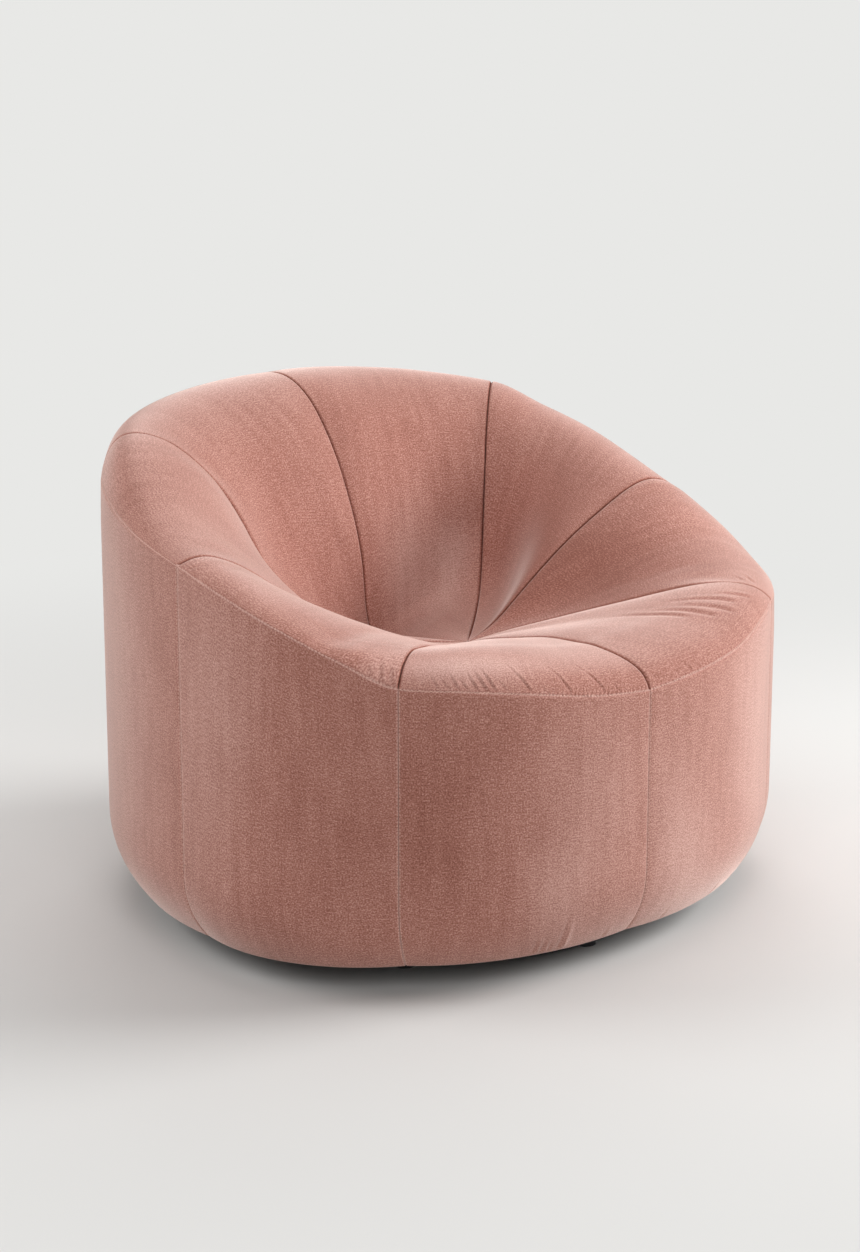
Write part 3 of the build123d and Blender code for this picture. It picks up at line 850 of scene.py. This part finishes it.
def cottonVelvet(name, sheen):             # woven pile: dark face-on, pale edge-on from the shader's sheen, with painted sheen and shade from the pile attribute
    material, tree, shader = newMaterial(name)
    place = addNode(tree, "ShaderNodeTexCoord")
    textures = [velvetLook[kind] for kind in ("slub", "lay", "grain", "mottle")]
    weave = 0.5 - sum(weight for across, along, weight in textures) / 2
    for across, along, weight in textures:
        fitted = addNode(tree, "ShaderNodeMapping", {
            "Vector": place.outputs["UV"], "Scale": (1 / across, 1 / along, 1),
        })
        noise = addNode(tree, "ShaderNodeTexNoise", {
            "Vector": fitted.outputs["Vector"], "Scale": 1.0, "Detail": 3.0, "Roughness": 0.6,
        })
        weave = mathNode(tree, "MULTIPLY_ADD", noise.outputs["Fac"], weight, weave)
    # the pile attribute: painted sheen and shade, and the painted highlight and shade of the seams
    pile = addNode(tree, "ShaderNodeAttribute", attribute_name="pile").outputs["Fac"]
    shiftedByLight = mathNode(tree, "MULTIPLY_ADD", pile, velvetLook["lean"], weave)
    tone = addNode(tree, "ShaderNodeValToRGB", {"Fac": shiftedByLight})
    stops = tone.color_ramp.elements
    low, centre, high = velvetLook["stops"]
    stops[0].position, stops[0].color = low, linear(velvetLook["deep"])
    stops[1].position, stops[1].color = high, linear(velvetLook["pale"])
    stops.new(centre).color = linear(velvetLook["mid"])
    # painted sheen: the pale colour comes in where the pile attribute is above 0
    sheenPatch = mathNode(tree, "MULTIPLY", pile, weave, use_clamp=True)
    shade = addNode(tree, "ShaderNodeMix", {
        "Factor": sheenPatch, 6: tone.outputs["Color"], 7: linear(velvetLook["pressed"]),
    }, data_type="RGBA")
    bump = addNode(tree, "ShaderNodeBump", {
        "Height": weave, "Strength": velvetLook["bump"], "Distance": velvetLook["pileHeight"],
    })
    tree.links.new(shade.outputs[2], shader.inputs["Base Color"])
    tree.links.new(bump.outputs["Normal"], shader.inputs["Normal"])
    shader.inputs["Roughness"].default_value = velvetLook["roughness"]
    shader.inputs["Specular IOR Level"].default_value = velvetLook["specular"]
    shader.inputs["Sheen Weight"].default_value = sheen
    shader.inputs["Sheen Roughness"].default_value = velvetLook["sheenRoughness"]
    shader.inputs["Sheen Tint"].default_value = linear(velvetLook["sheenTint"])
    return material


finishes = {
    # slot: name, dark and light colour, size of the grain along X, Y and Z in metres,
    # roughness, relief, metallic where it is
    "foam": ("cut_foam", "#d8cba4", "#efe6c8", (0.003, 0.003, 0.003), 0.95, 0.0006),  # open cells
    "timber": ("planed_beech", "#b48556", "#d6ad80", (0.006, 0.006, 0.080), 0.60, 0.0001),  # long flecks
    "plywood": ("birch_plywood", "#c19a69", "#dcbd90", (0.050, 0.008, 0.003), 0.65, 0.0001),  # broad grain
    "hardboard": ("pressed_hardboard", "#5b3d27", "#775338", (0.004, 0.004, 0.004), 0.75, 0.0001),  # specks
    "webbing": ("elastic_webbing", "#16161a", "#34343a", (0.002, 0.002, 0.002), 0.80, 0.0003),  # coarse weave
    "twine": ("waxed_twine", "#a8946a", "#cbb98e", (0.002, 0.002, 0.006), 0.55, 0.0004),  # twisted strands
    "dust_cloth": ("black_dust_cloth", "#0d0d0e", "#1b1b1d", (0.003, 0.003, 0.003), 0.95, 0.0003),  # felted
    "black_wood": ("matt_black_paint", "#070707", "#0e0e0e", (0.020, 0.020, 0.004), 0.55, 0.0001),  # brushed
    "steel": ("zinc_plated_steel", "#8d9094", "#b4b7ba", (0.010, 0.010, 0.010), 0.35, 0.00003, 1.0),  # cloudy
    "nylon": ("moulded_nylon", "#0a0a0b", "#141416", (0.004, 0.004, 0.004), 0.45, 0.00005),  # spark grain
    "thread": ("polyester_thread", "#c99b8d", "#dbb2a5", (0.001, 0.001, 0.001), 0.50, 0.0001),  # silky twist
}


def plainFinish(name, deep, pale, size, roughness, relief, metallic=0.0):  # a grain of two close colours
    material, tree, shader = newMaterial(name)
    place = addNode(tree, "ShaderNodeTexCoord")
    fitted = addNode(tree, "ShaderNodeMapping", {
        "Vector": place.outputs["Object"], "Scale": tuple(1 / v for v in size),
    })
    grain = addNode(tree, "ShaderNodeTexNoise", {
        "Vector": fitted.outputs["Vector"], "Scale": 1.0, "Detail": 3.0,
    })
    tone = addNode(tree, "ShaderNodeMix", {
        "Factor": grain.outputs["Fac"], 6: linear(deep), 7: linear(pale),
    }, data_type="RGBA")
    bump = addNode(tree, "ShaderNodeBump", {
        "Height": grain.outputs["Fac"], "Strength": 0.4, "Distance": relief,
    })
    tree.links.new(tone.outputs[2], shader.inputs["Base Color"])
    tree.links.new(bump.outputs["Normal"], shader.inputs["Normal"])
    shader.inputs["Roughness"].default_value = roughness
    shader.inputs["Metallic"].default_value = metallic
    return material


velvet = cottonVelvet("cotton_velvet", velvetLook["sheen"])
seamShadeVelvet = cottonVelvet("seam_shade_velvet", 0.0)  # pile crushed in a seam, sheen left off so the seam lips stay dark: painted shade in the crevice
materials = {slot: plainFinish(*finish) for slot, finish in finishes.items()}
for piece in gorePieces + panelPieces:
    piece.data.materials.append(velvet)
    if piece in gorePieces:
        piece.data.materials.append(seamShadeVelvet)
for piece in foamPieces:
    piece.data.materials.append(materials["foam"])
dustCloth.data.materials.append(materials["dust_cloth"])
for part in frame["record"]["subparts"]:
    if part["material_slot"] in materials:
        node = nodes[part["node"]]
        node.data.materials.clear()
        node.data.materials.append(materials[part["material_slot"]])
print("materials:", len(materials) + 2)


# Topstitching: thread laid along lines on the covers
stitching = {"pitch": 0.0048, "length": 0.0036, "width": 0.0012, "beadFaces": 20}


def stitchTree(thread):
    tree = bpy.data.node_groups.new("topstitch", "GeometryNodeTree")
    sockets = {}
    tree.interface.new_socket("Geometry", in_out="INPUT", socket_type="NodeSocketGeometry")
    for name in ("Pitch", "Length", "Width"):
        socket = tree.interface.new_socket(name, in_out="INPUT", socket_type="NodeSocketFloat")
        sockets[name] = socket.identifier
    tree.interface.new_socket("Geometry", in_out="OUTPUT", socket_type="NodeSocketGeometry")
    given = addNode(tree, "NodeGroupInput")
    line = addNode(tree, "GeometryNodeMeshToCurve", {"Mesh": given.outputs["Geometry"]})
    spots = addNode(tree, "GeometryNodeCurveToPoints", {
        "Curve": line.outputs["Curve"], "Length": given.outputs["Pitch"],
    }, mode="LENGTH")
    bead = addNode(tree, "GeometryNodeMeshIcoSphere", {"Radius": 0.5, "Subdivisions": 1})
    size = addNode(tree, "ShaderNodeCombineXYZ", {
        "X": given.outputs["Width"], "Y": given.outputs["Width"], "Z": given.outputs["Length"],
    })
    laid = addNode(tree, "GeometryNodeInstanceOnPoints", {
        "Points": spots.outputs["Points"], "Instance": bead.outputs["Mesh"],
        "Rotation": spots.outputs["Rotation"], "Scale": size.outputs["Vector"],
    })
    real = addNode(tree, "GeometryNodeRealizeInstances", {"Geometry": laid.outputs["Instances"]})
    smooth = addNode(tree, "GeometryNodeSetShadeSmooth", {"Geometry": real.outputs["Geometry"]})
    dyed = addNode(tree, "GeometryNodeSetMaterial", {
        "Geometry": smooth.outputs["Geometry"], "Material": thread,
    })
    addNode(tree, "NodeGroupOutput", {"Geometry": dyed.outputs["Geometry"]})
    return tree, sockets


def makeStitches(name, lines, tree, sockets):
    verts, edges = [], []
    for path in lines:
        first = len(verts)
        verts += [tuple(p) for p in path]
        edges += [(first + i, first + i + 1) for i in range(len(path) - 1)]
    guide = bpy.data.meshes.new(name + "_guide")
    guide.from_pydata(verts, edges, [])
    piece = bpy.data.objects.new(name, guide)
    scene.collection.objects.link(piece)
    modifier = piece.modifiers.new("topstitch", "NODES")
    modifier.node_group = tree
    for socket, identifier in sockets.items():
        modifier[identifier] = stitching[socket.lower()]
    depsgraph = bpy.context.evaluated_depsgraph_get()
    mesh = bpy.data.meshes.new_from_object(piece.evaluated_get(depsgraph))
    piece.modifiers.clear()
    piece.data = mesh
    bpy.data.meshes.remove(guide)
    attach(piece, "chair")
    return piece


tree, sockets = stitchTree(materials["thread"])
rimStitches = makeStitches("rim_topstitch", stitchLines["rim"], tree, sockets)
wallStitches = makeStitches("wall_topstitch", stitchLines["wall"], tree, sockets)
beadCount = sum(len(p.data.polygons) for p in (rimStitches, wallStitches)) // stitching["beadFaces"]
print("topstitch:", beadCount, "stitches")

# Stage, light and camera
stageSet = {
    "floorSize": 30.0,
    "floor": "#d3d2d0",
    "roughness": 0.8,
    "specular": 0.2,
    "far": "#e8e8e6",                      # what the floor fades to away from the chair
    "fadeFrom": 0.6,                       # metres from the chair
    "fadeTo": 2.0,
    "ambient": 0.03,                       # light of the background on the chair
    "aim": (0, 0, 0.35),                   # what the lamps point at
}


def seenRays(tree, least):                 # 1 to the camera, in reflections and through glass, else least
    rays = addNode(tree, "ShaderNodeLightPath")
    seen = least
    for kind in ("Is Camera Ray", "Is Glossy Ray", "Is Transmission Ray"):
        seen = mathNode(tree, "MAXIMUM", rays.outputs[kind], seen)
    return seen


def makeFloor():                           # matt, catches the shadow and fades into a pale background
    mesh = bpy.data.meshes.new("floor")
    size = stageSet["floorSize"]
    corners = [(-size, -size, 0), (size, -size, 0), (size, size, 0), (-size, size, 0)]
    mesh.from_pydata(corners, [], [(0, 1, 2, 3)])
    floor = bpy.data.objects.new("floor", mesh)
    scene.collection.objects.link(floor)
    material, tree, shader = newMaterial("matt_floor_paint")
    shader.inputs["Base Color"].default_value = linear(stageSet["floor"])
    shader.inputs["Roughness"].default_value = stageSet["roughness"]
    shader.inputs["Specular IOR Level"].default_value = stageSet["specular"]
    place = addNode(tree, "ShaderNodeTexCoord")
    away = addNode(tree, "ShaderNodeVectorMath", {0: place.outputs["Object"]}, operation="LENGTH")
    fade = addNode(tree, "ShaderNodeMapRange", {
        "Value": away.outputs["Value"], "From Min": stageSet["fadeFrom"], "From Max": stageSet["fadeTo"],
    }, interpolation_type="SMOOTHSTEP")
    seen = mathNode(tree, "MULTIPLY", fade.outputs["Result"], seenRays(tree, 0.0))
    glow = addNode(tree, "ShaderNodeEmission", {"Color": linear(stageSet["far"]), "Strength": 1.0})
    mix = addNode(tree, "ShaderNodeMixShader", {
        0: seen, 1: shader.outputs["BSDF"], 2: glow.outputs["Emission"],
    })
    tree.links.new(mix.outputs[0], tree.nodes["Material Output"].inputs["Surface"])
    mesh.materials.append(material)


makeFloor()

lamps = {
    # name: place, size in metres, watts. Left and right are as the camera sees them.
    "right": ((2.9, -1.7, 1.7), 2.0, 159),
    "left": ((-2.4, 2.0, 1.9), 2.0, 60),
    "above": ((0.2, 0.3, 3.2), 3.0, 34),
    "behind": ((1.9, 2.3, 2.6), 2.4, 29),
    "front": ((-2.0, -2.4, 2.0), 2.4, 46),
}


def makeLamps():
    for name, (spot, size, watts) in lamps.items():
        lamp = bpy.data.lights.new(name, "AREA")
        lamp.shape = "DISK"
        lamp.size = size
        lamp.energy = watts
        holder = bpy.data.objects.new(name, lamp)
        holder.location = spot
        aim = Vector(stageSet["aim"]) - Vector(spot)
        holder.rotation_euler = aim.to_track_quat("-Z", "Y").to_euler()
        scene.collection.objects.link(holder)


def makeWorld():                           # pale to the camera, nearly dark to the chair
    world = bpy.data.worlds.new("studio")
    scene.world = world
    world.use_nodes = True
    tree = world.node_tree
    sky = tree.nodes["Background"]
    sky.inputs["Color"].default_value = linear(stageSet["far"])
    tree.links.new(seenRays(tree, stageSet["ambient"]), sky.inputs["Strength"])


makeWorld()
makeLamps()

view = {
    "place": (-2.589, -3.056, 1.477),
    "heading": (0.6475, 0.7620),
    "pitch": 15.447,                       # degrees below level
    "lens": 86.26,
    "sensor": 36.0,
}


def makeCamera():
    data = bpy.data.cameras.new("camera")
    data.lens = view["lens"]
    data.sensor_width = view["sensor"]
    camera = bpy.data.objects.new("camera", data)
    down = math.radians(view["pitch"])
    look = Vector((view["heading"][0] * math.cos(down), view["heading"][1] * math.cos(down), -math.sin(down)))
    camera.location = view["place"]
    camera.rotation_euler = look.to_track_quat("-Z", "Y").to_euler()
    scene.collection.objects.link(camera)
    scene.camera = camera


makeCamera()
scene.view_settings.view_transform = "Standard"
